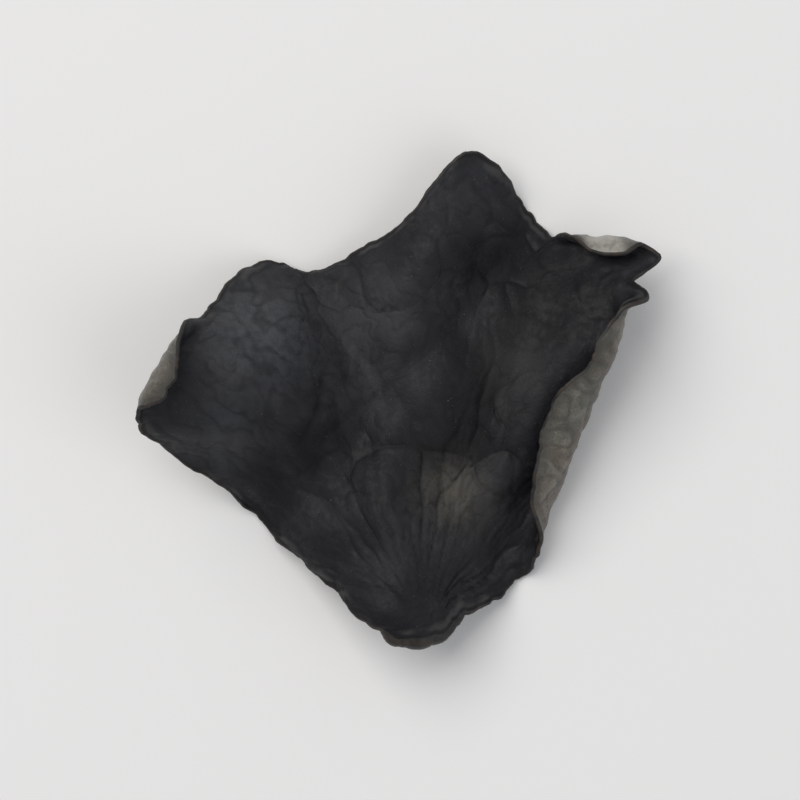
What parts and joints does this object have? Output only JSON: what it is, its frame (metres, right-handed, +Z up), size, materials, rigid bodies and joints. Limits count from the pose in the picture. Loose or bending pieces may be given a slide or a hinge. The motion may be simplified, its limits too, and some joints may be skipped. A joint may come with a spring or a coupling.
{
  "type": "dried wood ear mushroom",
  "caption": "Dried wood ear fungus: a thin leathery ear, black inside and grey-brown outside, shrunken, buckled and rolled at its edges, with a puckered attachment.",
  "frame": {"origin": "centre of the ear's box in plan, at the height of the surface that the ear lies on", "axes": "+X is the ear's width, towards its small curled horn and rolled edge; +Y runs from the puckered attachment to the tallest lobe; +Z is up from the surface"},
  "size_m": [0.0266, 0.0254, 0.0083],
  "materials": {
    "dried_skin": "satin"
  },
  "bodies": {
    "root": {"wood_ear": "dried_skin"}
  },
  "joints": []
}
